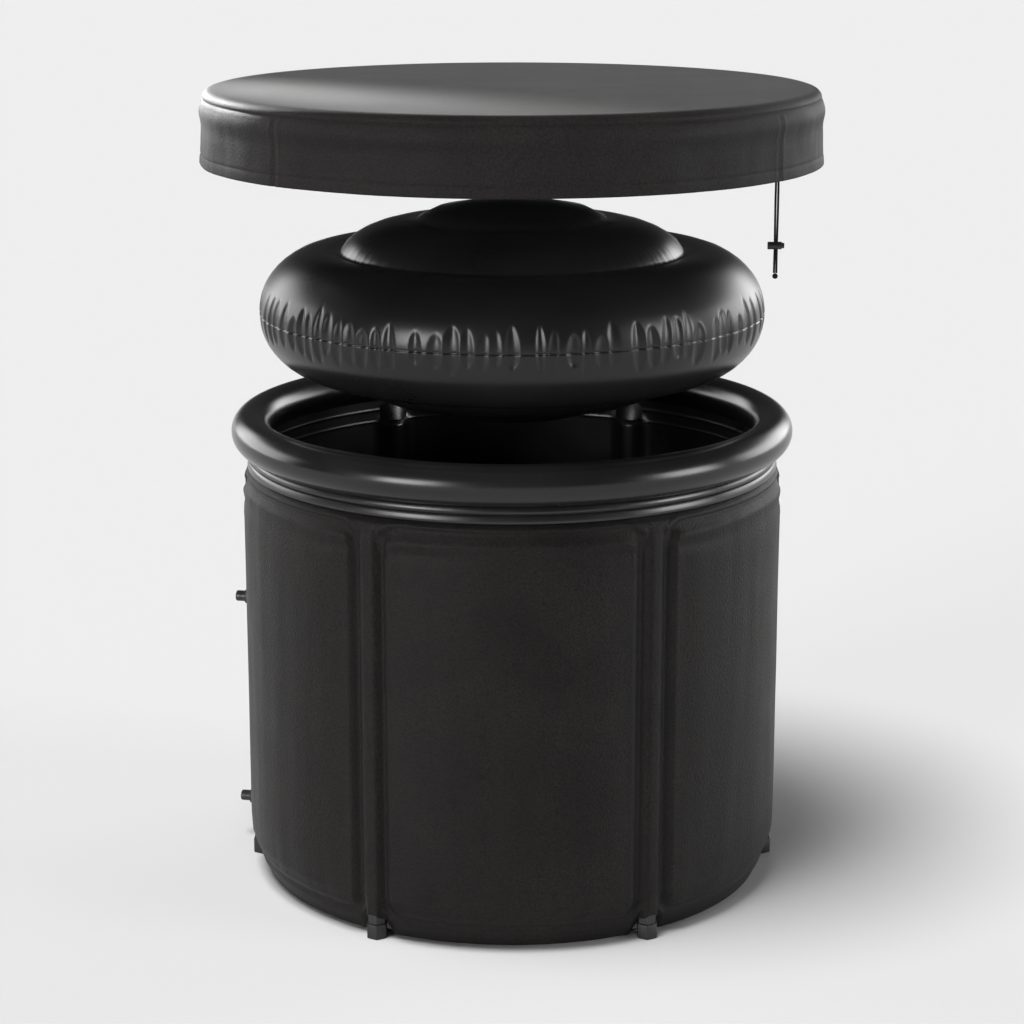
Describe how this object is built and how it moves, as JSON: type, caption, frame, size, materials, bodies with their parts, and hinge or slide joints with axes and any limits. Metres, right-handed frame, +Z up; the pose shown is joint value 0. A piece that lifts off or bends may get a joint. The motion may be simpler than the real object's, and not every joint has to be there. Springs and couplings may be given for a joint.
{
  "type": "cold plunge tub",
  "caption": "Round portable cold plunge tub with a padded pole-supported wall, inflated rim, lifted inflated lid and cloth cover with drawcord, and side hose ports.",
  "frame": {"origin": "centre of the tub on the floor it stands on", "axes": "+Z up, the front faces -Y, the hose ports are on the -X side"},
  "size_m": [0.96, 0.96, 1.252],
  "materials": {
    "jacket_cloth": "matte",
    "foam": "matte",
    "liner_pvc": "satin",
    "rim_pvc": "satin",
    "lid_pvc": "satin",
    "pole_plastic": "satin",
    "foot_rubber": "matte",
    "port_plastic": "satin",
    "gasket_rubber": "matte",
    "valve_plastic": "satin",
    "cover_cloth": "matte",
    "cord": "matte",
    "lock_plastic": "satin",
    "spring_steel": "satin"
  },
  "bodies": {
    "tub": {"wall_jacket": "jacket_cloth", "foam_pad_1": "foam", "foam_pad_2": "foam", "foam_pad_3": "foam", "foam_pad_4": "foam", "foam_pad_5": "foam", "foam_pad_6": "foam", "inner_liner": "liner_pvc", "floor_pad": "foam", "bottom_sheet": "jacket_cloth", "collar_band": "rim_pvc", "foot_1": "foot_rubber", "pole_1": "pole_plastic", "pole_plug_1": "pole_plastic", "foot_2": "foot_rubber", "pole_2": "pole_plastic", "pole_plug_2": "pole_plastic", "foot_3": "foot_rubber", "pole_3": "pole_plastic", "pole_plug_3": "pole_plastic", "foot_4": "foot_rubber", "pole_4": "pole_plastic", "pole_plug_4": "pole_plastic", "foot_5": "foot_rubber", "pole_5": "pole_plastic", "pole_plug_5": "pole_plastic", "foot_6": "foot_rubber", "pole_6": "pole_plastic", "pole_plug_6": "pole_plastic", "upper_port_body": "port_plastic", "upper_port_gasket": "gasket_rubber", "upper_port_nut": "port_plastic", "drain_port_body": "port_plastic", "drain_port_gasket": "gasket_rubber", "drain_port_nut": "port_plastic", "rim_ring": "rim_pvc", "rim_valve_body": "valve_plastic"},
    "upper_port_cap": {"upper_port_cap": "port_plastic"},
    "drain_port_cap": {"drain_port_cap": "port_plastic"},
    "rim_valve_plug": {"rim_valve_plug": "valve_plastic"},
    "lid": {"lid_top_skin": "lid_pvc", "lid_bottom_skin": "lid_pvc", "lid_outer_web": "lid_pvc", "lid_inner_web": "lid_pvc", "lid_valve_body": "valve_plastic"},
    "lid_valve_plug": {"lid_valve_plug": "valve_plastic"},
    "cover": {"cover_top": "cover_cloth", "cover_skirt_front": "cover_cloth", "cover_skirt_back": "cover_cloth", "cover_hem": "cover_cloth", "hem_drawcord": "cord", "drawcord_tail_1": "cord", "drawcord_tail_2": "cord", "drawcord_knot": "cord"},
    "cord_lock": {"cord_lock_body": "lock_plastic", "cord_lock_spring": "spring_steel"},
    "cord_lock_button": {"cord_lock_button": "lock_plastic"}
  },
  "joints": [
    {"name": "lid_lift", "type": "slide", "parent": "tub", "child": "lid", "axis": [0, 0, 1], "range_m": [-0.128, 0.25]},
    {"name": "cover_lift", "type": "slide", "parent": "lid", "child": "cover", "axis": [0, 0, 1], "range_m": [-0.172, 0.15]},
    {"name": "upper_port_cap_turn", "type": "hinge", "parent": "tub", "child": "upper_port_cap", "pos_m": [-0.43332, 0.07641, 0.415], "axis": [-0.9848, 0.1736, 0], "range_deg": [0, 720]},
    {"name": "drain_port_cap_turn", "type": "hinge", "parent": "tub", "child": "drain_port_cap", "pos_m": [-0.43332, 0.07641, 0.068], "axis": [-0.9848, 0.1736, 0], "range_deg": [0, 720]},
    {"name": "rim_valve_pull", "type": "slide", "parent": "tub", "child": "rim_valve_plug", "axis": [0, 1, 0], "range_m": [0, 0.012]},
    {"name": "lid_valve_pull", "type": "slide", "parent": "lid", "child": "lid_valve_plug", "axis": [0, 0, 1], "range_m": [0, 0.012]},
    {"name": "cord_lock_slide", "type": "slide", "parent": "cover", "child": "cord_lock", "axis": [0, 0, 1], "range_m": [-0.034, 0.084]},
    {"name": "cord_lock_press", "type": "slide", "parent": "cord_lock", "child": "cord_lock_button", "axis": [-1, 0, 0], "range_m": [0, 0.003], "stiffness_N_per_m": 300, "deforming": ["cord_lock_spring"]}
  ]
}
